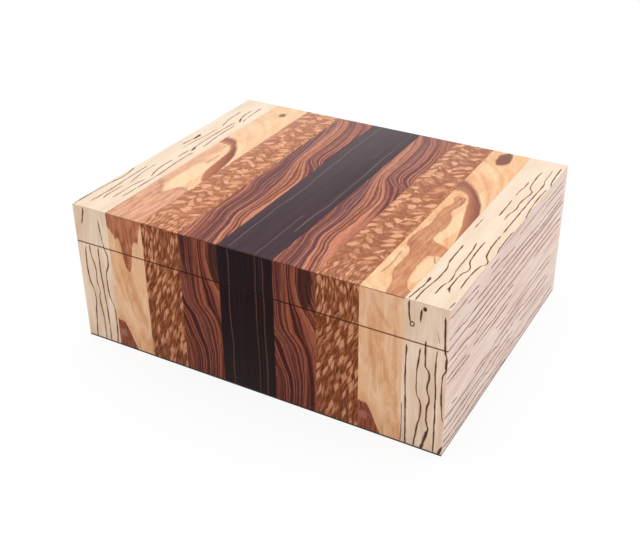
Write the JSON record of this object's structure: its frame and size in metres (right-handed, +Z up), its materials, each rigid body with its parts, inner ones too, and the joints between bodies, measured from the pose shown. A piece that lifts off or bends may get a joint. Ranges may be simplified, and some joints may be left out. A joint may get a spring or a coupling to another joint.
{
  "type": "humidor",
  "caption": "Veneered wooden humidor with striped exotic woods, a hinged lid on quadrant hinges, cedar lining, sliding tray and dividers, humidifier and dial hygrometer.",
  "frame": {"origin": "middle of the felt's underside, on the surface that the box stands on, under the middle of the veneered box", "axes": "+X to the right along the width, +Y from the front to the hinges, +Z up"},
  "size_m": [0.34, 0.2753, 0.131],
  "materials": {
    "carcass": "plain hardwood, sealed",
    "spalted": "spalted veneer with dark lines, semi-gloss lacquer",
    "olive": "olive veneer with dark heart figure, semi-gloss lacquer",
    "leopard": "flecked veneer, semi-gloss lacquer",
    "rosewood": "rosewood veneer with dark waved lines, semi-gloss lacquer",
    "ebony": "ebony veneer, semi-gloss lacquer",
    "cedar": "bare cedar, sanded",
    "brass": "polished",
    "coil": "dull",
    "felt": "matt felt",
    "case_plastic": "matt black",
    "foam": "open-cell foam",
    "steel": "plated",
    "dial": "matt white with a plain black scale",
    "needle": "matt black",
    "glass": "clear"
  },
  "bodies": {
    "base": {"felt_pad": "felt", "base_bottom_board": "carcass", "base_front_wall": "carcass", "base_back_wall": "carcass", "base_left_wall": "carcass", "base_right_wall": "carcass", "base_spalted_strips": "spalted", "base_olive_strips": "olive", "base_leopard_strips": "leopard", "base_rosewood_strips": "rosewood", "base_ebony_strips": "ebony", "base_side_veneers": "spalted", "floor_liner": "cedar", "base_front_liner": "cedar", "base_back_liner": "cedar", "base_left_liner": "cedar", "base_right_liner": "cedar", "tray_rails": "cedar", "base_hinge_leaves": "brass", "hinge_pins": "brass", "base_hinge_screws": "brass"},
    "lid": {"lid_top_board": "carcass", "lid_front_rim": "carcass", "lid_back_rim": "carcass", "lid_left_rim": "carcass", "lid_right_rim": "carcass", "lid_top_spalted_strips": "spalted", "lid_top_olive_strips": "olive", "lid_top_leopard_strips": "leopard", "lid_top_rosewood_strips": "rosewood", "lid_top_ebony_strip": "ebony", "lid_rim_spalted_strips": "spalted", "lid_rim_olive_strips": "olive", "lid_rim_leopard_strips": "leopard", "lid_rim_rosewood_strips": "rosewood", "lid_rim_ebony_strips": "ebony", "lid_side_veneers": "spalted", "ceiling_liner": "cedar", "lid_rim_liners": "cedar", "lid_hinge_leaves": "brass", "lid_hinge_screws": "brass", "humidifier_plates": "steel", "humidifier_magnets": "steel", "humidifier_case": "case_plastic", "humidifier_foam": "foam", "humidifier_grille": "case_plastic", "hygrometer_case": "brass", "hygrometer_coil": "coil", "hygrometer_dial": "dial", "hygrometer_glass": "glass", "hygrometer_bezel": "brass"},
    "stays": {"quadrant_stays": "brass"},
    "shutter": {"humidifier_shutter": "case_plastic"},
    "needle": {"hygrometer_needle": "needle"},
    "tray": {"tray_front_wall": "cedar", "tray_back_wall": "cedar", "tray_side_walls": "cedar", "tray_floor": "cedar"},
    "tray_divider": {"tray_divider": "cedar"},
    "divider": {"lower_divider": "cedar"}
  },
  "joints": [
    {"name": "lid_hinge", "type": "hinge", "parent": "base", "child": "lid", "pos_m": [0, 0.13775, 0.0963], "axis": [-1, 0, 0], "range_deg": [0, 95]},
    {"name": "stay_swing", "type": "hinge", "parent": "base", "child": "stays", "pos_m": [0, 0.13775, 0.0963], "axis": [-1, 0, 0], "range_deg": [0, 47.5]},
    {"name": "shutter_slide", "type": "slide", "parent": "lid", "child": "shutter", "axis": [1, 0, 0], "range_m": [0, 0.005]},
    {"name": "needle_turn", "type": "hinge", "parent": "lid", "child": "needle", "pos_m": [0.08, 0, 0.11555], "axis": [0, 0, 1], "range_deg": [-189, 81]},
    {"name": "tray_slide", "type": "slide", "parent": "base", "child": "tray", "axis": [1, 0, 0], "range_m": [0, 0.1532]},
    {"name": "tray_divider_slide", "type": "slide", "parent": "tray", "child": "tray_divider", "axis": [1, 0, 0], "range_m": [-0.0665, 0.0665]},
    {"name": "divider_slide", "type": "slide", "parent": "base", "child": "divider", "axis": [1, 0, 0], "range_m": [-0.148, 0.148]}
  ],
  "couplings": [
    {"joint": "stay_swing", "follows": "lid_hinge", "ratio": 0.5}
  ]
}
